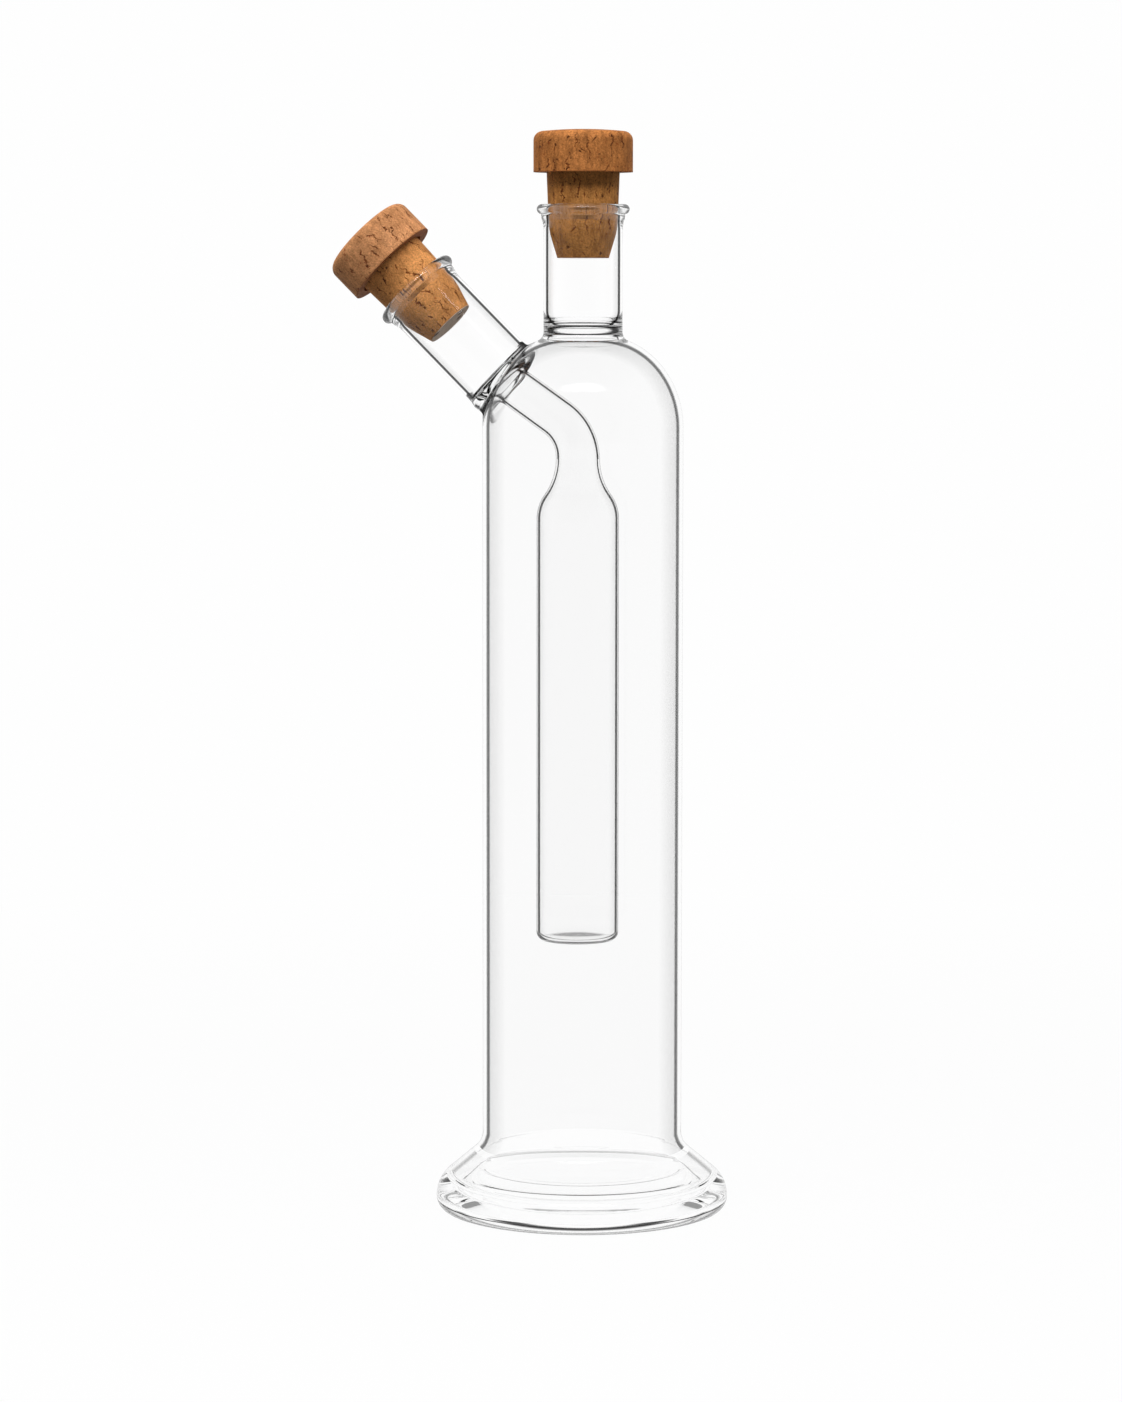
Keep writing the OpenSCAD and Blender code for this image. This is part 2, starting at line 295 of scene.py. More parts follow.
def add_ring(bm, points):
    """Vertices at points, which are in metres."""
    return [bm.verts.new(p) for p in points]


def join_rings(bm, a, b, skin, flip=False):
    """Quads between two rings of the same count, in one of the glass skins."""
    n = len(a)
    for i in range(n):
        j = (i + 1) % n
        quad = (a[i], a[j], b[j], b[i])
        bm.faces.new(reversed(quad) if flip else quad).material_index = skin


def carry_on(bm, ring, rows, place, skin, flip=False):
    """Carries a ring on by rows of faces. place gives the points at a share of the way."""
    for i in range(1, rows + 1):
        new = add_ring(bm, place(i / rows))
        join_rings(bm, ring, new, skin, flip)
        ring = new
    return ring


def close_ring(bm, ring, middle, skin, flip=False):
    """A fan from a ring to a point."""
    n = len(ring)
    for i in range(n):
        j = (i + 1) % n
        tri = (ring[i], ring[j], middle)
        bm.faces.new(reversed(tri) if flip else tri).material_index = skin


def lathe(bm, profile, skins, steps):
    """Turns a profile about Z. A point at radius 0 becomes a single vertex."""
    last = None
    for (r, z), skin in zip(profile, skins):
        if r < 1e-6:
            now = bm.verts.new((0, 0, z * MM))
        else:
            now = add_ring(bm, [
                (
                    r * MM * math.cos(2 * math.pi * k / steps),
                    r * MM * math.sin(2 * math.pi * k / steps),
                    z * MM,
                )
                for k in range(steps)
            ])
        if last is not None:
            if isinstance(last, list) and isinstance(now, list):
                join_rings(bm, last, now, skin)
            elif isinstance(now, list):
                close_ring(bm, now, last, skin, flip=True)
            else:
                close_ring(bm, last, now, skin)
        last = now


# The slanting neck's own directions: along it, out of the bottle, and across it in the XZ plane
ALONG = Vector((-math.sin(SIDE_LEAN), 0, math.cos(SIDE_LEAN)))
ACROSS = Vector((math.cos(SIDE_LEAN), 0, math.sin(SIDE_LEAN)))
SIDEWAYS = Vector((0, 1, 0))


def neck_point(angle, radius, height):
    """A point given by its angle and radius about the slanting neck, and height along it."""
    return (
        SEAL
        + ACROSS * (radius * math.cos(angle))
        + SIDEWAYS * (radius * math.sin(angle))
        + ALONG * height
    )


def radius_of(profile):
    """A function that gives the radius of part of a profile at a height, by interpolation."""
    rows = sorted((z, r) for r, z in profile)

    def at(z):
        low, high = 0, len(rows) - 1
        while high - low > 1:
            mid = (low + high) // 2
            if rows[mid][0] > z:
                high = mid
            else:
                low = mid
        (z0, r0), (z1, r1) = rows[low], rows[high]
        t = 0 if z1 == z0 else min(1, max(0, (z - z0) / (z1 - z0)))
        return r0 + (r1 - r0) * t

    return at


def shoulder_height(radius_at, angle, radius):
    """Height along the slanting neck at which a line beside its axis meets the shoulder."""
    low, high = -14.0, 9.0
    for _ in range(40):
        mid = (low + high) / 2
        p = neck_point(angle, radius, mid)
        if math.hypot(p.x, p.y) > radius_at(p.z):
            high = mid
        else:
            low = mid
    return (low + high) / 2


def bezier(points, t):
    """Point of a cubic curve through the first and last of four points."""
    weights = ((1 - t) ** 3, 3 * t * (1 - t) ** 2, 3 * t * t * (1 - t), t ** 3)
    return tuple(sum(w * p[k] for w, p in zip(weights, points)) for k in (0, 1))


def cut_and_stitch(bm, hole_r, ring_points, skin, inward):
    """Opens a round hole in the lathe's shoulder and stitches its edge to an even ring.

    Faces within hole_r of the slanting neck's axis go. inward is true for the skin that faces
    the oil, and false for the outside.
    """
    margin = 0.35
    depth = 12.0
    edge_reach = 22.0
    bm.normal_update()
    centre = SEAL * MM
    drop = []
    for f in bm.faces:
        if (f.normal.dot(ALONG) < 0) != inward:
            continue
        for v in f.verts:
            p = v.co - centre
            s = p.dot(ALONG)
            if (p - ALONG * s).length < (hole_r + margin) * MM and abs(s) < depth * MM:
                drop.append(f)
                break
    bmesh.ops.delete(bm, geom=drop, context="FACES")
    edges = [
        e for e in bm.edges
        if e.is_boundary and (e.verts[0].co - centre).length < edge_reach * MM
    ]
    # Walk the hole's edge in order
    link = {}
    for e in edges:
        for v in e.verts:
            link.setdefault(v, []).append(e)
    start = edges[0].verts[0]
    loop = [start]
    edge = link[start][0]
    while True:
        nxt = edge.other_vert(loop[-1])
        if nxt is start:
            break
        loop.append(nxt)
        pair = link[nxt]
        edge = pair[0] if pair[1] is edge else pair[1]
    ring = add_ring(bm, ring_points)

    def flat(v):
        p = v.co - centre
        return Vector((p.dot(ACROSS), p.dot(SIDEWAYS))) / MM

    both = loop + ring
    coords = [flat(v) for v in both]
    n, m = len(loop), len(ring)
    ties = [(i, (i + 1) % n) for i in range(n)]
    ties += [(n + i, n + (i + 1) % m) for i in range(m)]
    out = delaunay_2d_cdt(coords, ties, [], 0, 1e-7)
    places, faces, origins = out[0], out[2], out[3]
    outer = coords[:n]

    def inside(p):
        """Whether a flat point lies within the hole's edge."""
        hit = False
        for i in range(n):
            a, b = outer[i], outer[(i + 1) % n]
            if (a.y > p.y) != (b.y > p.y):
                if p.x < (b.x - a.x) * (p.y - a.y) / (b.y - a.y) + a.x:
                    hit = not hit
        return hit

    limit = min(c.length for c in coords[n:]) * math.cos(math.pi / m) - 1e-4
    for tri in faces:
        middle = sum((places[i] for i in tri), Vector((0, 0))) / 3
        if middle.length < limit or not inside(middle):
            continue
        verts = [both[origins[i][0]] for i in tri]
        normal = (verts[1].co - verts[0].co).cross(verts[2].co - verts[0].co)
        if (normal.dot(ALONG) < 0) != inward:
            verts.reverse()
        bm.faces.new(verts).material_index = skin
    return ring


# The stem's path in the XZ plane, from the seal down to the vial
BEND_X = -VIAL_X - BEND_R
STEM_L = (-SEAL.x + BEND_X + BEND_R * math.sin(STEM_DROP)) / math.cos(STEM_DROP)
BEND_Z = SEAL.z - STEM_L * math.sin(STEM_DROP) - BEND_R * math.cos(STEM_DROP)


def stem_place(t):
    """Point and direction of the stem's middle line, at a distance from the seal's centre."""
    if t < STEM_L:
        way = Vector((math.cos(STEM_DROP), 0, -math.sin(STEM_DROP)))
        return SEAL + way * t, way
    angle = math.pi / 2 - STEM_DROP - (t - STEM_L) / BEND_R
    if angle > 0:
        at = Vector((BEND_X, 0, BEND_Z)) + BEND_R * Vector((math.cos(angle), 0, math.sin(angle)))
        return at, Vector((math.sin(angle), 0, -math.cos(angle)))
    left = t - STEM_L - BEND_R * (math.pi / 2 - STEM_DROP)
    return Vector((-VIAL_X, 0, BEND_Z - left)), Vector((0, 0, -1))


STEM_END = STEM_L + BEND_R * (math.pi / 2 - STEM_DROP)


def tube_ring(t, inset, steps):
    """A ring of points round the stem's middle line. The stem widens a little round its bend."""
    at, way = stem_place(t)
    along_bend = min(1, max(0, (t - STEM_L) / (STEM_END - STEM_L)))
    radius = STEM_R + (STEM_FOOT_R - STEM_R) * along_bend - inset
    across = Vector((-way.z, 0, way.x))
    return [
        (at + across * (radius * math.cos(a)) + SIDEWAYS * (radius * math.sin(a))) * MM
        for a in (2 * math.pi * k / steps for k in range(steps))
    ]


def vial_profile(inset, floor_h):
    """The vial's wall below its stem, as (radius, height), down to the middle of its floor."""
    rise = VIAL_R - STEM_FOOT_R
    turn = 2 * math.degrees(math.atan2(rise, VIAL_SHOULDER_H))
    arcs = VIAL_SHOULDER_H / math.sin(math.radians(turn))
    upper = arcs * VIAL_HOLLOW
    lower = arcs - upper
    corner = VIAL_CORNER - inset
    bottom = VIAL_BOTTOM_Z + floor_h
    side = VIAL_R - inset
    lowest = (VIAL_R - VIAL_CORNER, bottom)
    return joined(
        arc((STEM_FOOT_R + upper, BEND_Z), upper + inset, upper + inset, 180, 180 + turn, 14),
        arc(
            (VIAL_R - lower, BEND_Z - VIAL_SHOULDER_H), lower - inset, lower - inset, turn, 0, 14
        ),
        line((side, BEND_Z - VIAL_SHOULDER_H), (side, bottom + corner), 5),
        arc((VIAL_R - VIAL_CORNER, bottom + corner), corner, corner, 0, -90, 8),
        line(lowest, (0, bottom), 6),
    )


def add_vessel(bm, ring, inset, floor_h, pull_t, first_t, flip):
    """Carries a ring at the seal on down the stem and the vial, and closes it at the floor.

    It curves into the stem at first_t along it, drawn towards the stem at pull_t.
    """
    steps = len(ring)
    mouth = [v.co.copy() for v in ring]
    pull = tube_ring(pull_t, inset, steps)
    target = tube_ring(first_t, inset, steps)

    def curve(t):
        return [
            m * (1 - t) ** 2 + q * (2 * t * (1 - t)) + p * t * t
            for m, q, p in zip(mouth, pull, target)
        ]

    def stem(t):
        return tube_ring(first_t + (STEM_END - first_t) * t, inset, steps)

    ring = carry_on(bm, ring, 8, curve, SEALED, flip)
    ring = carry_on(bm, ring, 30, stem, STEM, flip)
    for r, z in vial_profile(inset, floor_h)[1:]:
        if r < 1e-6:
            close_ring(bm, ring, bm.verts.new((-VIAL_X * MM, 0, z * MM)), VIAL, flip)
            return
        new = add_ring(bm, [
            ((r * math.cos(a) - VIAL_X) * MM, r * math.sin(a) * MM, z * MM)
            for a in (2 * math.pi * k / steps for k in range(steps))
        ])
        join_rings(bm, ring, new, VIAL, flip)
        ring = new


def lathe_skin(outer, r, z):
    """The glass skin that a stretch of the bottle's profile belongs to."""
    stand = FOOT_R - RIM_R
    if z > NECK_TOP_Z - LIP_SKIN_H:
        return LIP
    if outer and z < RIM_R:
        if r > stand + RIM_SKIN_OUT:
            return RIM
        return STAND if r > stand - STAND_W - STAND_SKIN_IN else OUTSIDE
    if outer:
        return OUTSIDE
    if z > FILLET_CENTRE[1] + SEAM_SKIN_UP:
        return BORE
    if z > FILLET_CENTRE[1] - SEAM_SKIN_DOWN:
        return SEAM
    if z > HOLLOW[1] - FLARE_SKIN_DOWN:
        return CHAMBER
    return FLARE if z > CHANNEL_Z and r > FLOOR_EDGE[0] + FLOOR_SKIN_OUT else FLOOR


def seal_bulge(point):
    """The melted ring stands a little proud of the neck's tube."""
    r, s = point
    return r + SEAL_BULGE * math.exp(-((s - SEAL_BULGE_Z) / SEAL_BULGE_W) ** 2), s


ANGLES = [2 * math.pi * k / LOFT_STEPS for k in range(LOFT_STEPS)]


def open_shoulder(bm, radius_at, hole, skin, inward):
    """Opens one skin of the shoulder round the slanting neck. Returns the hole's even ring."""
    edge = [neck_point(a, hole, shoulder_height(radius_at, a, hole)) * MM for a in ANGLES]
    return cut_and_stitch(bm, hole, edge, skin, inward)


def seal_outside(bm, ring, radius_at, hole):
    """The shoulder's outside sweeps up over the melted ring into the slanting neck."""
    curves = []
    for a in ANGLES:
        start = shoulder_height(radius_at, a, hole)
        foot = shoulder_height(radius_at, a, NECK_R + 0.4)
        curves.append((
            (hole, start), (NECK_R + 0.6, foot), (NECK_R, foot + 0.2), (NECK_R, foot + 1.8),
        ))

    def sweep(t):
        return [neck_point(a, *seal_bulge(bezier(c, t))) * MM for a, c in zip(ANGLES, curves)]

    def tube(t):
        tops = (c[3][1] for c in curves)
        return [
            neck_point(a, *seal_bulge((NECK_R, top + (SEAL_TOP - top) * t))) * MM
            for a, top in zip(ANGLES, tops)
        ]

    ring = carry_on(bm, ring, 10, sweep, SEALED)
    return carry_on(bm, ring, 10, tube, OUTSIDE)


def slanting_neck(bm, ring):
    """The slanting neck's tube: up its outside, over its bead and down its bore to the seal."""
    dense = 4.5
    face = SEAL_T / 2
    corner = SEAL_CORNER_R
    profile = joined(
        line((NECK_R, SEAL_TOP), (NECK_R, SIDE_NECK_L - 2 * BEAD_R - LIP_FLARE_H), 5),
        lip_outside(SIDE_NECK_L),
        lip_inside(SIDE_NECK_L)[1:],
        line((NECK_BORE_R, SIDE_NECK_L - BEAD_R), (NECK_BORE_R, dense), 7),
        line((NECK_BORE_R, dense), (NECK_BORE_R, face + corner + 0.1), 4),
        arc((NECK_BORE_R - corner, face + corner), corner, corner, 0, -90, 7),
        line((NECK_BORE_R - corner, face), (STEM_R + STEM_MOUTH, face), 3),
    )
    turned = False
    for r, s in profile:
        if s > SIDE_NECK_L - LIP_SKIN_H:
            skin = LIP
        elif turned:
            skin = SEALED if s < SEALED_SKIN_H else BORE
        else:
            skin = OUTSIDE
        new = add_ring(bm, [neck_point(a, r, s) * MM for a in ANGLES])
        join_rings(bm, ring, new, skin)
        ring = new
        turned = turned or s > SIDE_NECK_L - 0.01
    return ring


def seal_inside(bm, ring, radius_at, hole):
    """The oil's side of the seal: the shoulder's inside runs down over the ring to the stem."""
    curves = []
    for a in ANGLES:
        start = shoulder_height(radius_at, a, hole)
        foot = shoulder_height(radius_at, a, NECK_BORE_R)
        curves.append((
            (hole, start), (NECK_BORE_R, min(foot, 0.2)), (NECK_BORE_R, -SEAL_T / 2),
            (NECK_BORE_R - 1.6, -SEAL_T / 2 - 0.1),
        ))

    def sweep(t):
        return [neck_point(a, *bezier(c, t)) * MM for a, c in zip(ANGLES, curves)]

    return carry_on(bm, ring, 12, sweep, SEALED, flip=True)


def glass_piece():
    """The whole melted glass as one closed mesh."""
    bm = bmesh.new()
    outside = outer_profile()
    inside = inner_profile()
    profile = joined(outside, inside)
    skins = [lathe_skin(i < len(outside), r, z) for i, (r, z) in enumerate(profile)]
    lathe(bm, profile, skins, LATHE_STEPS)

    # Both skins of the shoulder are opened before anything is added to them
    shoulder = (190, 240)
    neck_foot = FILLET_CENTRE[1] - 1
    outer_at = radius_of([p for p in outside if shoulder[0] < p[1] < shoulder[1]])
    inner_at = radius_of([p for p in inside if shoulder[0] < p[1] < neck_foot])
    inner_hole = NECK_BORE_R + 1.6
    outer_hole = NECK_R + 2.0
    under_ring = open_shoulder(bm, inner_at, inner_hole, CHAMBER, inward=True)
    ring = open_shoulder(bm, outer_at, outer_hole, OUTSIDE, inward=False)

    # The outside, the slanting neck and the vinegar's side of the vessel
    ring = seal_outside(bm, ring, outer_at, outer_hole)
    ring = slanting_neck(bm, ring)
    add_vessel(bm, ring, VIAL_WALL, VIAL_FLOOR, -0.6, 2.4, flip=False)

    # The oil's side of the vessel
    ring = seal_inside(bm, under_ring, inner_at, inner_hole)
    add_vessel(bm, ring, 0.0, 0.0, 1.0, 3.9, flip=True)

    bm.normal_update()
    mesh = bpy.data.meshes.new("cruet_glass")
    bm.to_mesh(mesh)
    bm.free()
    for polygon in mesh.polygons:
        polygon.use_smooth = True
    piece = bpy.data.objects.new("cruet_glass", mesh)
    bpy.context.scene.collection.objects.link(piece)
    return piece


# Materials

class Graph:
    """A node tree, with short calls that add nodes and feed their inputs."""

    def __init__(self, tree):
        self.tree = tree
        tree.nodes.clear()

    def add(self, kind, *feeds, **settings):
        """A node with its properties. Each feed is an input's name or number and its value."""
        node = self.tree.nodes.new("ShaderNode" + kind)
        for name, value in settings.items():
            setattr(node, name, value)
        for key, value in feeds:
            if isinstance(value, bpy.types.NodeSocket):
                self.tree.links.new(value, node.inputs[key])
            else:
                node.inputs[key].default_value = value
        return node

    def math(self, operation, a, b=0.0, clamp=False):
        return self.add("Math", (0, a), (1, b), operation=operation, use_clamp=clamp).outputs[0]

    def mix(self, factor, a, b, blend="MIX"):
        return self.add(
            "Mix", (0, factor), (6, a), (7, b), data_type="RGBA", blend_type=blend,
        ).outputs[2]

    def ramp(self, factor, stops, ease=False):
        """A colour ramp from rows of a position and a grey level or a colour."""
        node = self.add("ValToRGB", (0, factor))
        ramp = node.color_ramp
        ramp.interpolation = "EASE" if ease else "LINEAR"
        for i, (position, value) in enumerate(stops):
            spot = ramp.elements[i] if i < 2 else ramp.elements.new(position)
            spot.position = position
            colour = value if isinstance(value, tuple) else (value, value, value)
            spot.color = (*colour, 1)
        return node.outputs["Color"]

    def noise(self, vector, scale, detail=2.0, roughness=0.5):
        return self.add(
            "TexNoise", ("Vector", vector), ("Scale", scale), ("Detail", detail),
            ("Roughness", roughness),
        ).outputs["Fac"]

    def seen_rays(self):
        """1 for the rays that show a background to the eye, straight or by way of glass."""
        path = self.add("LightPath")
        seen = self.math("MAXIMUM", path.outputs["Is Camera Ray"], path.outputs["Is Glossy Ray"])
        return self.math("MAXIMUM", seen, path.outputs["Is Transmission Ray"])


def new_material(name, kind=Graph):
    m = bpy.data.materials.new(name)
    m.use_nodes = True
    return m, kind(m.node_tree)


GLASS_IOR = 1.47
SHADOW_TINT = (0.97, 0.975, 0.98, 1)
CLEAR = (1.0, 1.0, 1.0, 1.0)


def glass_material(name, from_glass, from_air, mirror):
    """Clear glass, with painted shade: each skin's colour darkens with the angle, in lines and
    bands.

    The two ramps are for light that meets the skin from inside the glass and from the air, from
    a square look at 0 to a grazing one at 1. The last ramp says how strong a mirror each share
    of reflected light gives.
    """
    m, g = new_material(name)
    facing = g.add("LayerWeight", ("Blend", 0.5)).outputs["Facing"]
    within = g.add("NewGeometry").outputs["Backfacing"]
    inner = CLEAR if from_glass is CLEAR else g.ramp(facing, from_glass)
    # Painted shade: the ramps darken the glass's colour by the angle
    painted_shade = g.mix(within, g.ramp(facing, from_air), inner)
    through = g.add("BsdfRefraction", ("Color", painted_shade), ("Roughness", 0.0), ("IOR", GLASS_IOR))
    shine = g.add("BsdfGlossy", ("Color", painted_shade), ("Roughness", 0.0))
    share = g.ramp(g.add("Fresnel", ("IOR", GLASS_IOR)).outputs[0], mirror)
    glass = g.add("MixShader", (0, share), (1, through.outputs[0]), (2, shine.outputs[0]))
    clear = g.add("BsdfTransparent", ("Color", SHADOW_TINT))
    path = g.add("LightPath")
    lit = g.math("MAXIMUM", path.outputs["Is Shadow Ray"], path.outputs["Is Diffuse Ray"])
    both = g.add("MixShader", (0, lit), (1, glass.outputs[0]), (2, clear.outputs[0]))
    g.add("OutputMaterial", ("Surface", both.outputs[0]))
    return m


def painted_dark_line(dark, wide, soft=0.8):
    """A tube's dark inner line, painted shade in the glass where a look just misses its bore.

    dark is the line's level, wide its width and soft the level that it falls to beside it.
    """
    clear = 0.98
    return ((0.0, 1.0), (0.17, 1.0), (0.21, 0.5 + 0.5 * soft), (0.256, soft), (0.262, dark),
            (0.266 + wide, dark), (0.274 + wide, clear), (1.0, clear))


# Mirrors, and the looks of the skins: name, ramp from the glass, ramp from the air, mirror
EASED = ((0.0, 0.0), (0.06, 0.012), (0.3, 0.2), (1.0, 1.0))
FULL = ((0.0, 0.0), (0.05, 0.055), (0.4, 0.3), (1.0, 1.0))
# Painted shade: dark bands that the rim's ramp paints into the glass
RIM_PAINTED_BANDS = (
    (0.0, 1.0), (0.03, 1.0), (0.042, 0.5), (0.055, 1.0), (0.11, 1.0), (0.15, 0.14),
    (0.215, 0.06), (0.26, 0.3), (0.31, 0.98), (0.42, 0.98), (0.5, 0.35), (0.58, 0.85),
    (0.74, 0.4), (0.88, 0.75), (1.0, 0.4),
)
# The ramps from the glass and from the air paint shade into the glass: dark lines and bands
GLASS_LOOKS = (
    ("glass_outside", CLEAR, ((0.0, 1.0), (0.86, 1.0), (1.0, 0.78)), EASED),
    ("glass_chamber", painted_dark_line(0.12, 0.008), ((0.0, 0.966), (0.8, 0.966), (1.0, 0.7)), EASED),
    ("glass_flare", painted_dark_line(0.55, 0.003, 0.95),
     ((0.0, 1.0), (0.86, 1.0), (0.94, 0.5), (1.0, 0.1)), EASED),
    ("glass_floor", CLEAR, ((0.0, 1.0), (0.86, 1.0), (0.93, 0.5), (1.0, 0.05)), EASED),
    ("glass_bore", painted_dark_line(0.05, 0.03), ((0.0, 1.0), (0.8, 1.0), (1.0, 0.6)), EASED),
    ("glass_vial", painted_dark_line(0.02, 0.024, 0.9), ((0.0, 0.985), (0.8, 0.985), (1.0, 0.5)), EASED),
    ("glass_stand", CLEAR, ((0.0, 0.95), (1.0, 0.5)), EASED),
    ("glass_rim", CLEAR, RIM_PAINTED_BANDS, EASED),
    ("glass_lip", ((0.0, 1.0), (0.24, 1.0), (0.28, 0.3), (0.36, 0.9), (0.6, 1.0), (1.0, 1.0)),
     ((0.0, 0.5), (0.02, 0.55), (0.07, 1.0), (0.6, 1.0), (0.82, 0.9), (0.92, 0.5), (1.0, 0.05)),
     FULL),
    ("glass_seam", ((0.0, 1.0), (0.15, 0.95), (0.24, 0.1), (0.33, 0.02), (0.4, 0.5), (0.6, 1.0)),
     ((0.0, 1.0), (0.6, 0.95), (0.78, 0.15), (1.0, 0.04)), EASED),
    ("glass_seal", painted_dark_line(0.01, 0.08), ((0.0, 1.0), (0.55, 0.97), (0.72, 0.12), (1.0, 0.02)),
     EASED),
    ("glass_stem", painted_dark_line(0.03, 0.05, 0.9), ((0.0, 0.99), (0.8, 0.99), (1.0, 0.5)), EASED),
)


class Cork(Graph):
    """Patterns of cut cork, in millimetres about the stopper's own axis, from its seat."""

    def lay_out(self, origin, lean, seed, radius):
        """Places the patterns on a stopper: through the cork, and unrolled round its side."""
        turn = Matrix.Rotation(lean, 3, "Y")
        self.place = self.add(
            "Mapping", ("Vector", self.add("TexCoord").outputs["Object"]),
            ("Scale", (1 / MM, 1 / MM, 1 / MM)), ("Rotation", (0, lean, 0)),
            ("Location", tuple(-(turn @ origin))),
        ).outputs[0]
        split = self.add("SeparateXYZ", (0, self.place))
        self.height = split.outputs["Z"]
        # The seam of the unrolled side lies at the back
        back = self.math("MULTIPLY", split.outputs["Y"], -1.0)
        across = self.math("MULTIPLY", split.outputs["X"], -1.0)
        angle = self.math("ARCTAN2", across, back)
        self.side = self.add(
            "CombineXYZ", (0, self.math("MULTIPLY", angle, radius)), (1, self.height),
        ).outputs[0]
        shift = (seed * 37.0, seed * 19.0, seed * 53.0)
        self.solid = self.move(self.place, shift)
        self.unrolled = self.move(self.side, shift)
        # 1 on the turned side, 0 on the flat ends
        axis = turn.transposed() @ Vector((0, 0, 1))
        normal = self.add("TexCoord").outputs["Normal"]
        along = self.add("VectorMath", (0, normal), (1, tuple(axis)), operation="DOT_PRODUCT")
        self.on_side = self.ramp(
            self.math("ABSOLUTE", along.outputs["Value"]), ((0.45, 1.0), (0.75, 0.0)),
        )

    def move(self, vector, shift):
        return self.add("VectorMath", (0, vector), (1, shift)).outputs[0]

    def scaled(self, vector, by):
        return self.add("VectorMath", (0, vector), (1, by), operation="MULTIPLY").outputs[0]

    def step(self, value, low, high, first=0.0, last=1.0):
        """first up to low and last from high, evenly between them."""
        return self.add(
            "MapRange", ("Value", value), ("From Min", low), ("From Max", high),
            ("To Min", first), ("To Max", last),
        ).outputs["Result"]

    def marks(self, width, length, cell, share, tilt, wander):
        """Separate cracks, one in some cells of the unrolled side, with tapered, wavy ends."""
        grid = self.scaled(self.unrolled, (1 / cell[0], 1 / cell[1], 1))
        cells = self.add(
            "TexVoronoi", ("Vector", grid), ("Scale", 1.0), ("Randomness", 0.8),
            voronoi_dimensions="2D",
        )
        offset = self.add(
            "VectorMath", (0, grid), (1, cells.outputs["Position"]), operation="SUBTRACT",
        ).outputs[0]
        offset = self.add("SeparateXYZ", (0, self.scaled(offset, (cell[0], cell[1], 1))))
        luck = self.add("SeparateColor", (0, cells.outputs["Color"]))
        along = offset.outputs["Y"]
        lean = self.step(luck.outputs[1], 0, 1, -tilt, tilt)
        bend = self.step(self.noise(self.unrolled, 0.4, 3, 0.62), 0, 1, -wander, wander)
        sway = self.math("ADD", self.math("MULTIPLY", along, lean), bend)
        aside = self.math("ABSOLUTE", self.math("ADD", offset.outputs["X"], sway))
        reach = self.step(luck.outputs[2], 0, 1, length * 0.4, length)
        run = self.math("DIVIDE", along, reach)
        taper = self.math("SUBTRACT", 1.0, self.math("MULTIPLY", run, run), clamp=True)
        uneven = self.step(self.noise(self.unrolled, 1.2, 3, 0.6), 0.36, 0.64, 0.4, 1.2)
        wide = self.math("MULTIPLY", taper, self.math("MULTIPLY", uneven, width))
        edge = self.math("SUBTRACT", wide, aside)
        chosen = self.math("LESS_THAN", luck.outputs[0], share)
        return self.math("MULTIPLY", self.step(edge, -0.05, 0.05), chosen)

    def pits(self, scale, size, share):
        """Small holes, in some cells of the solid cork, with ragged edges."""
        ragged = self.scaled(self.add(
            "TexNoise", ("Vector", self.solid), ("Scale", 1.8), ("Detail", 3.0),
        ).outputs["Color"], (0.9, 0.9, 0.9))
        cells = self.add(
            "TexVoronoi", ("Vector", self.add("VectorMath", (0, self.solid), (1, ragged))
                           .outputs[0]), ("Scale", scale), ("Randomness", 1.0),
        )
        luck = self.add("SeparateColor", (0, cells.outputs["Color"]))
        hole = self.step(cells.outputs["Distance"], size * scale * 1.3, size * scale * 0.7)
        return self.math("MULTIPLY", hole, self.math("LESS_THAN", luck.outputs[0], share))


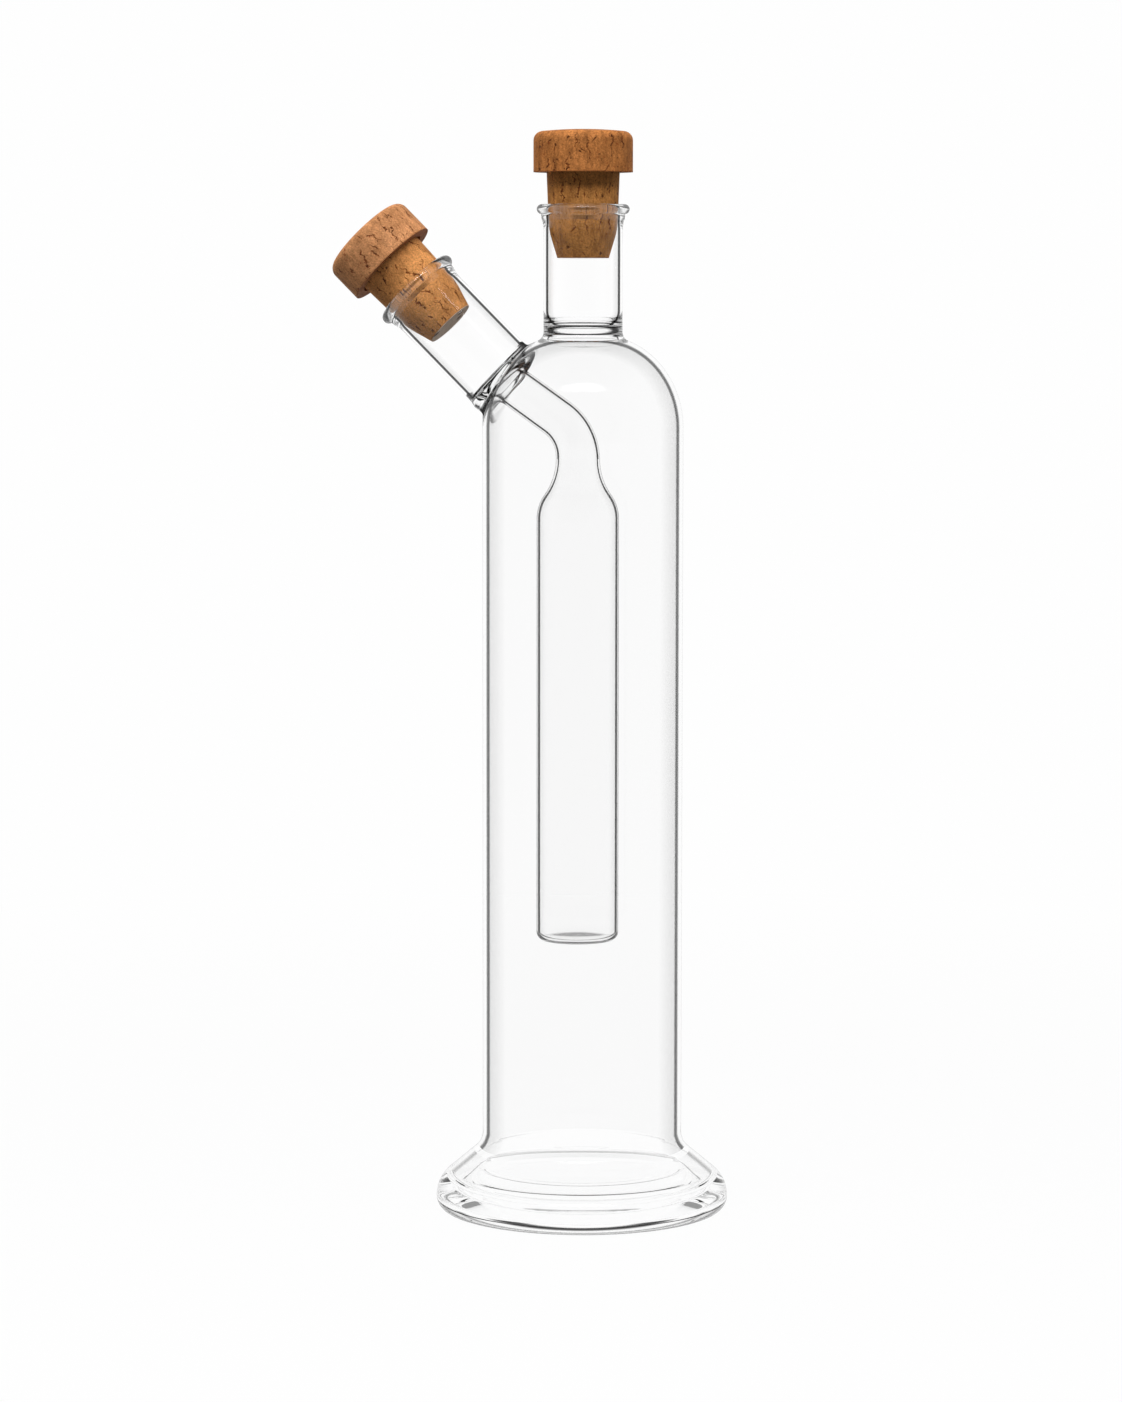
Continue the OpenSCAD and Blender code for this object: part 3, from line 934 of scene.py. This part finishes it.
def cork_material(name, albedo, seat, lean, seed, radius, cracks, specks, veins, painted_edge_shade):
    """Natural cork, cut and turned.

    cracks, specks and veins are how much of each it has. The last argument lists heights and half
    widths of edges painted darker: painted shade along them.
    """
    m, g = new_material(name, Cork)
    g.lay_out(seat, lean, seed, radius)

    def tone(level, warm=1.0):
        """The cork's colour at a level. Green and blue change faster with it than red."""
        powers = (1, warm, warm * 1.15)
        return tuple(c * level ** power for c, power in zip(albedo, powers))

    def stain_and_shade(*shares):
        """The cork's colour brought down to shares of red, green and blue, for marks and painted
        shade.
        """
        return (*(c * share for c, share in zip(albedo, shares)), 1)

    # Broad patches, veins along the cork and fine grain
    patches = g.noise(g.solid, scale=0.22, detail=4, roughness=0.6)
    base = g.ramp(patches, ((0.3, tone(0.74, 1.15)), (0.5, tone(1.0)), (0.7, tone(1.22, 1.1))))
    stretched = g.scaled(g.solid, (1, 1, 0.2))
    streaks = g.noise(stretched, scale=0.8, detail=5, roughness=0.62)
    lift = g.ramp(streaks, ((0.32, 1 - 0.34 * veins), (0.5, 1.0), (0.68, 1 + 0.3 * veins)))
    base = g.mix(1.0, base, lift, "MULTIPLY")
    grain = g.noise(g.solid, scale=2.5, detail=5, roughness=0.74)
    base = g.mix(1.0, base, g.ramp(grain, ((0.35, 0.58), (0.5, 0.98), (0.66, 1.4))), "MULTIPLY")
    swirl = g.add(
        "TexNoise", ("Vector", g.scaled(g.solid, (1, 1, 0.55))), ("Scale", 0.5), ("Detail", 3.0),
        ("Distortion", 1.6),
    ).outputs["Fac"]
    vein = g.step(g.math("ABSOLUTE", g.math("SUBTRACT", swirl, 0.52)), 0.03, 0.004)
    base = g.mix(g.math("MULTIPLY", vein, 0.34 * veins), base, (*tone(1.7), 1))

    # Loose clusters of reddish specks
    fine = g.step(g.noise(g.solid, scale=1.15, detail=3, roughness=0.6), 0.6, 0.68)
    groups = g.noise(g.move(g.solid, (9, 4, 2)), scale=0.26, detail=2)
    cluster = g.step(groups, 0.56 - 0.07 * specks, 0.64 - 0.07 * specks)
    speck = g.math("MULTIPLY", g.math("MULTIPLY", fine, cluster), 0.8)
    base = g.mix(speck, base, stain_and_shade(0.52, 0.30, 0.24))

    # Warm brown cracks along the cork, darker where they gape, and pits
    long = g.marks(
        width=0.23, length=3.6, cell=(3.2, 6.4), share=0.62 * cracks, tilt=0.25, wander=2.2,
    )
    short = g.marks(
        width=0.2, length=1.2, cell=(3.1, 3.6), share=0.35 * cracks, tilt=0.8, wander=1.4,
    )
    crack = g.math("MULTIPLY", g.math("MAXIMUM", long, short), g.on_side)
    base = g.mix(g.math("MULTIPLY", crack, 0.85), base, stain_and_shade(0.3, 0.16, 0.09))
    gape = g.math("MULTIPLY", crack, g.step(g.noise(g.solid, scale=0.9, detail=2), 0.5, 0.62))
    pit = g.pits(scale=0.34, size=0.38, share=0.5)
    small = g.pits(scale=0.8, size=0.17, share=0.4)
    hollow = g.math("MAXIMUM", gape, g.math("MAXIMUM", pit, small))
    base = g.mix(g.math("MULTIPLY", hollow, 0.85), base, stain_and_shade(0.12, 0.07, 0.05))

    # Painted shade: a dark line painted along each listed edge
    for z, half in painted_edge_shade:
        near = g.math("ABSOLUTE", g.math("SUBTRACT", g.height, z))
        edge = g.math("MULTIPLY", g.step(near, half, half * 0.2), 0.55)
        base = g.mix(edge, base, stain_and_shade(0.48, 0.36, 0.28))

    # Painted light: the end face is painted paler, for the light it catches from the white floor
    # below
    end = g.math("MULTIPLY", g.step(g.height, 0.15 - INSERT_L, 0.05 - INSERT_L), 0.92)
    pale = g.ramp(grain, ((0.35, (0.50, 0.36, 0.26)), (0.65, (0.84, 0.68, 0.55))))
    sunk = g.math("MAXIMUM", hollow, g.pits(scale=0.22, size=1.0, share=0.9))
    base = g.mix(end, base, g.mix(sunk, pale, (0.05, 0.025, 0.012, 1)))

    relief = g.math("SUBTRACT", g.math("MULTIPLY", grain, 0.3), g.math("MAXIMUM", hollow, crack))
    bump = g.add("Bump", ("Height", relief), ("Strength", 0.6), ("Distance", 0.0003))
    skin = g.add(
        "BsdfPrincipled", ("Base Color", base), ("Roughness", 0.72), ("Normal", bump.outputs[0]),
        ("Specular IOR Level", 0.12),
    )
    g.add("OutputMaterial", ("Surface", skin.outputs[0]))
    return m


# The glass
glass = glass_piece()
for look in GLASS_LOOKS:
    glass.data.materials.append(glass_material(*look))
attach(glass, "bottle")
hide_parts("outer_bottle", "inner_vessel", "side_neck")

# The corks. albedo is a linear colour, and the edge lists give heights and half widths of painted
# shade.
MAIN_SEAT = Vector((0, 0, NECK_TOP_Z))
SIDE_SEAT = SEAL + ALONG * SIDE_NECK_L
HEAD_R = 12.8
SHANK_R = 9.0
HEAD_LOW = SHANK_L - INSERT_L
HEAD_SHADED_EDGES = ((HEAD_LOW, 0.35), (HEAD_LOW + HEAD_H, 0.5))
SHANK_SHADED_EDGES = ((-INSERT_L, 0.35),)
CORKS = {
    "main_stopper_head": dict(
        albedo=(0.36, 0.135, 0.037), seat=MAIN_SEAT, lean=0.0, seed=1, radius=HEAD_R,
        cracks=0.8, specks=0.9, veins=0.95, painted_edge_shade=HEAD_SHADED_EDGES,
    ),
    "main_stopper_shank": dict(
        albedo=(0.40, 0.17, 0.045), seat=MAIN_SEAT, lean=0.0, seed=2, radius=SHANK_R,
        cracks=0.9, specks=0.4, veins=0.9, painted_edge_shade=SHANK_SHADED_EDGES,
    ),
    "side_stopper_head": dict(
        albedo=(0.46, 0.21, 0.088), seat=SIDE_SEAT, lean=SIDE_LEAN, seed=3, radius=HEAD_R,
        cracks=1.2, specks=1.0, veins=0.6, painted_edge_shade=HEAD_SHADED_EDGES,
    ),
    "side_stopper_shank": dict(
        albedo=(0.55, 0.24, 0.076), seat=SIDE_SEAT, lean=SIDE_LEAN, seed=4, radius=SHANK_R,
        cracks=1.1, specks=0.3, veins=0.4, painted_edge_shade=SHANK_SHADED_EDGES,
    ),
}
for node, look in CORKS.items():
    slots = frame["nodes"][node].data.materials
    slots.clear()
    slots.append(cork_material(node + "_cork", **look))


# Floor, light and camera

# Levels of the background, of the floor beside the object and of what light they throw on it
WHITE = 0.992
FLOOR_ALBEDO = 0.06
FLOOR_GLOW = 0.9
BOUNCE = 0.19
SKY = 0.22
CEILING = 0.12
FRONT = 0.3

# The floor fades between these distances, in metres, and the lamps stand this far from the cruet
FADE = (0.2, 0.6)
FLOOR_R = 6
LAMP_DISTANCE = 2.0
LAMP_AIM = Vector((0, 0, 0.15))


def floor():
    """A pale floor that keeps a faint shadow near the object and fades into the background."""
    mesh = bpy.data.meshes.new("floor")
    bm = bmesh.new()
    bmesh.ops.create_circle(bm, cap_ends=True, radius=FLOOR_R, segments=96)
    bm.to_mesh(mesh)
    bm.free()
    plane = bpy.data.objects.new("floor", mesh)
    bpy.context.scene.collection.objects.link(plane)
    m, g = new_material("floor_white")
    place = g.add("TexCoord").outputs["Object"]
    reach = g.add("VectorMath", (0, place), operation="LENGTH").outputs["Value"]
    albedo = g.ramp(reach, ((FADE[0], FLOOR_ALBEDO), (FADE[1], 0.0)), ease=True)
    shown = g.ramp(reach, ((FADE[0], FLOOR_GLOW), (FADE[1], WHITE)), ease=True)
    colour = g.mix(g.seen_rays(), (BOUNCE, BOUNCE, BOUNCE, 1), shown)
    matt = g.add("BsdfDiffuse", ("Color", albedo))
    glow = g.add("Emission", ("Color", colour), ("Strength", 1.0))
    both = g.add("AddShader", (0, matt.outputs[0]), (1, glow.outputs[0]))
    g.add("OutputMaterial", ("Surface", both.outputs[0]))
    mesh.materials.append(m)


def world():
    """An even studio. Only the glass mirrors its darker ceiling and its dim front."""
    w = bpy.data.worlds.new("studio")
    w.use_nodes = True
    g = Graph(w.node_tree)
    way = g.add("TexCoord").outputs["Generated"]
    up = g.add("SeparateXYZ", (0, way)).outputs["Z"]
    ceiling = g.ramp(up, ((0.62, WHITE), (0.86, CEILING)))
    front = g.add("VectorMath", (0, way), (1, (0.2, -0.98, 0)), operation="DOT_PRODUCT")
    dim = g.ramp(front.outputs["Value"], ((0.2, WHITE), (0.9, FRONT)))
    path = g.add("LightPath")
    mirrored = g.mix(path.outputs["Is Glossy Ray"], ceiling, g.mix(1.0, ceiling, dim, "DARKEN"))
    shown = g.mix(path.outputs["Is Camera Ray"], mirrored, (WHITE, WHITE, WHITE, 1))
    colour = g.mix(g.seen_rays(), (SKY, SKY, SKY, 1), shown)
    sky = g.add("Background", ("Color", colour), ("Strength", 1.0))
    g.add("OutputWorld", ("Surface", sky.outputs[0]))
    bpy.context.scene.world = w


def soft_lamp(name, way, size, level):
    """A soft lamp of a width and depth. A white surface that faces it is lit to the level."""
    data = bpy.data.lights.new(name, "AREA")
    data.shape = "ELLIPSE"
    data.size, data.size_y = size
    data.energy = level * math.pi ** 2 * LAMP_DISTANCE ** 2
    lamp = bpy.data.objects.new(name, data)
    bpy.context.scene.collection.objects.link(lamp)
    way = Vector(way).normalized()
    lamp.location = way * LAMP_DISTANCE + LAMP_AIM
    lamp.rotation_euler = (-way).to_track_quat("-Z", "Y").to_euler()
    return lamp


def lamps():
    """A soft key over the camera, a lamp at each side of it and a weak fill from behind."""
    key = soft_lamp("key", (0.12, -0.63, 0.78), (1.8, 0.4), 0.48)
    key.visible_transmission = False
    sides = (
        ("left", (-0.39, -0.41, 0.82), 0.62),
        ("right", (0.52, -0.23, 0.82), 0.56),
        ("fill", (-0.5, 0.7, 0.5), 0.3),
    )
    for name, way, level in sides:
        lamp = soft_lamp(name, way, (1.2, 1.2), level)
        lamp.visible_glossy = False
        lamp.visible_transmission = False


# The camera, fitted to the object's outlines in the photograph, in the photograph's own pixels
IMAGE_W = 1122
FOCAL_PX = 4500.0
AXIS_PX = 582.5
SCALE_PX_PER_MM = 3.846
PITCH = math.radians(5.4)
AZIMUTH = math.radians(11.5)
ROLL = math.radians(0.05)
AIM_Z = 133.6


def camera():
    data = bpy.data.cameras.new("camera")
    data.sensor_fit = "HORIZONTAL"
    data.sensor_width = 36
    data.lens = FOCAL_PX / IMAGE_W * data.sensor_width
    data.clip_start = 0.05
    data.clip_end = 50
    cam = bpy.data.objects.new("camera", data)
    bpy.context.scene.collection.objects.link(cam)
    distance = FOCAL_PX / SCALE_PX_PER_MM * MM
    right = Vector((math.cos(AZIMUTH), math.sin(AZIMUTH), 0))
    offset = (AXIS_PX - IMAGE_W / 2) / SCALE_PX_PER_MM * MM
    aim = Vector((0, 0, AIM_Z * MM)) - right * offset
    back = Vector((
        math.sin(AZIMUTH) * math.cos(PITCH), -math.cos(AZIMUTH) * math.cos(PITCH), math.sin(PITCH)
    ))
    cam.location = aim + back * distance
    turn = (-back).to_track_quat("-Z", "Y").to_matrix().to_4x4()
    cam.matrix_world = Matrix.Translation(cam.location) @ turn @ Matrix.Rotation(ROLL, 4, "Z")
    bpy.context.scene.camera = cam


floor()
world()
lamps()
camera()

scene = bpy.context.scene
scene.view_settings.view_transform = "Standard"
scene.cycles.max_bounces = 48
scene.cycles.transmission_bounces = 40
scene.cycles.transparent_max_bounces = 48
scene.cycles.glossy_bounces = 24
